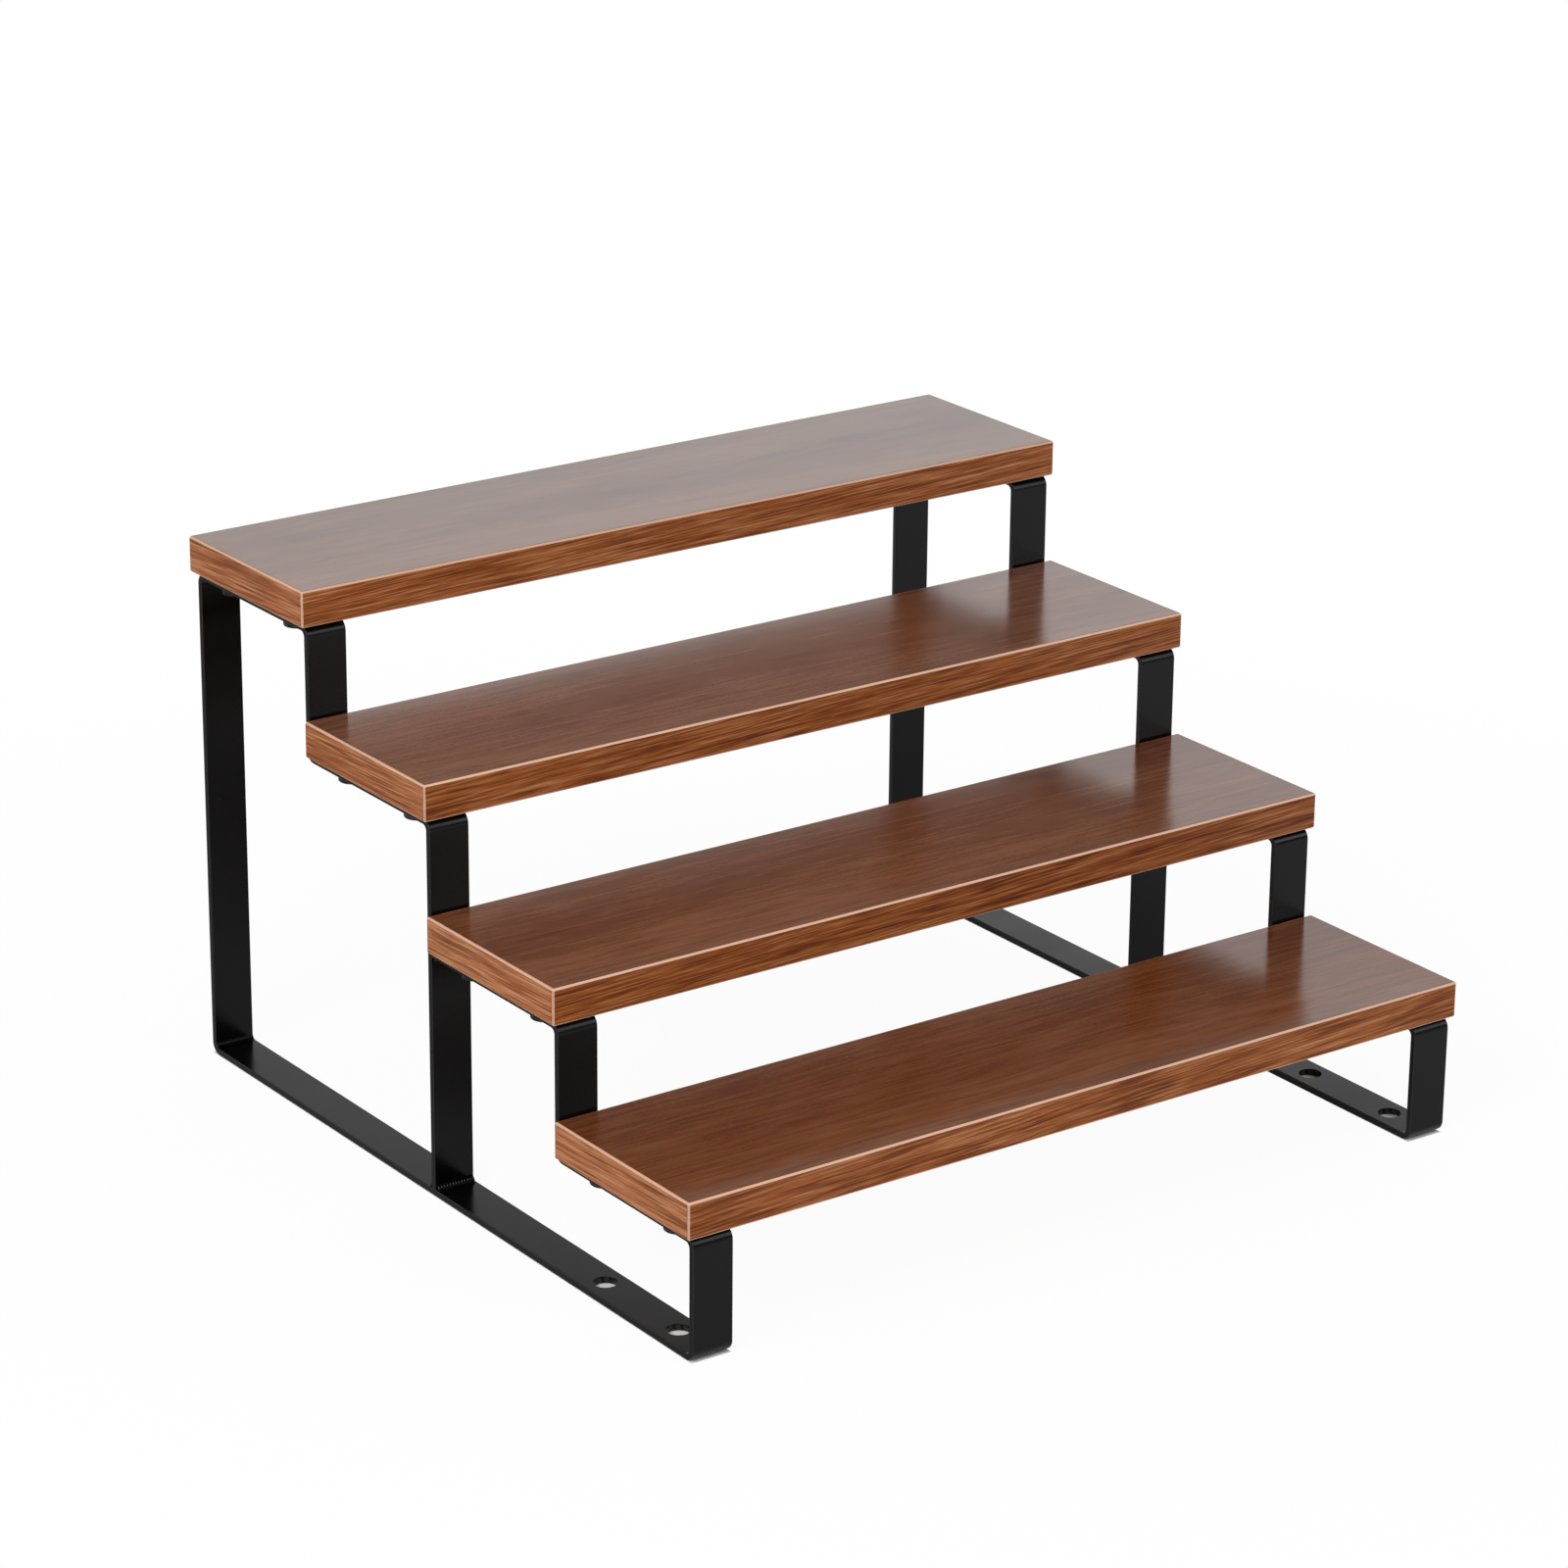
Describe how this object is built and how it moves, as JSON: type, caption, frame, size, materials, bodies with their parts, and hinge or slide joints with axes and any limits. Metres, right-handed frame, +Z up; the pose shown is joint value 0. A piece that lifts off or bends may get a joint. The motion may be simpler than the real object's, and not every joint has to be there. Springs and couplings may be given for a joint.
{
  "type": "tiered display stand",
  "caption": "Stepped tabletop display stand: walnut-look laminated boards screwed to side frames of bent black flat bar.",
  "frame": {"origin": "on the floor, at the middle of the footprint", "axes": "+X along the boards, +Y from the front, lowest tier to the rear, highest tier, +Z up"},
  "size_m": [0.42, 0.4, 0.2535],
  "materials": {
    "board_core": "raw particle board, hidden",
    "walnut_laminate": "semi-gloss walnut laminate, grain along X",
    "walnut_edge_band": "satin walnut-look edge band with a pale scraped bevel",
    "black_powder_coat": "black powder coat, satin",
    "screw_steel": "dark plated steel"
  },
  "bodies": {
    "root": {"tier_1_core": "board_core", "tier_1_top_laminate": "walnut_laminate", "tier_1_bottom_laminate": "walnut_laminate", "tier_1_front_band": "walnut_edge_band", "tier_1_rear_band": "walnut_edge_band", "tier_1_left_band": "walnut_edge_band", "tier_1_right_band": "walnut_edge_band", "tier_1_screws": "screw_steel", "tier_1_washers": "screw_steel", "tier_2_core": "board_core", "tier_2_top_laminate": "walnut_laminate", "tier_2_bottom_laminate": "walnut_laminate", "tier_2_front_band": "walnut_edge_band", "tier_2_rear_band": "walnut_edge_band", "tier_2_left_band": "walnut_edge_band", "tier_2_right_band": "walnut_edge_band", "tier_2_screws": "screw_steel", "tier_2_washers": "screw_steel", "tier_3_core": "board_core", "tier_3_top_laminate": "walnut_laminate", "tier_3_bottom_laminate": "walnut_laminate", "tier_3_front_band": "walnut_edge_band", "tier_3_rear_band": "walnut_edge_band", "tier_3_left_band": "walnut_edge_band", "tier_3_right_band": "walnut_edge_band", "tier_3_screws": "screw_steel", "tier_3_washers": "screw_steel", "tier_4_core": "board_core", "tier_4_top_laminate": "walnut_laminate", "tier_4_bottom_laminate": "walnut_laminate", "tier_4_front_band": "walnut_edge_band", "tier_4_rear_band": "walnut_edge_band", "tier_4_left_band": "walnut_edge_band", "tier_4_right_band": "walnut_edge_band", "tier_4_screws": "screw_steel", "tier_4_washers": "screw_steel", "left_bar": "black_powder_coat", "left_step_weld": "black_powder_coat", "left_foot_weld": "black_powder_coat", "right_bar": "black_powder_coat", "right_step_weld": "black_powder_coat", "right_foot_weld": "black_powder_coat"}
  },
  "joints": []
}
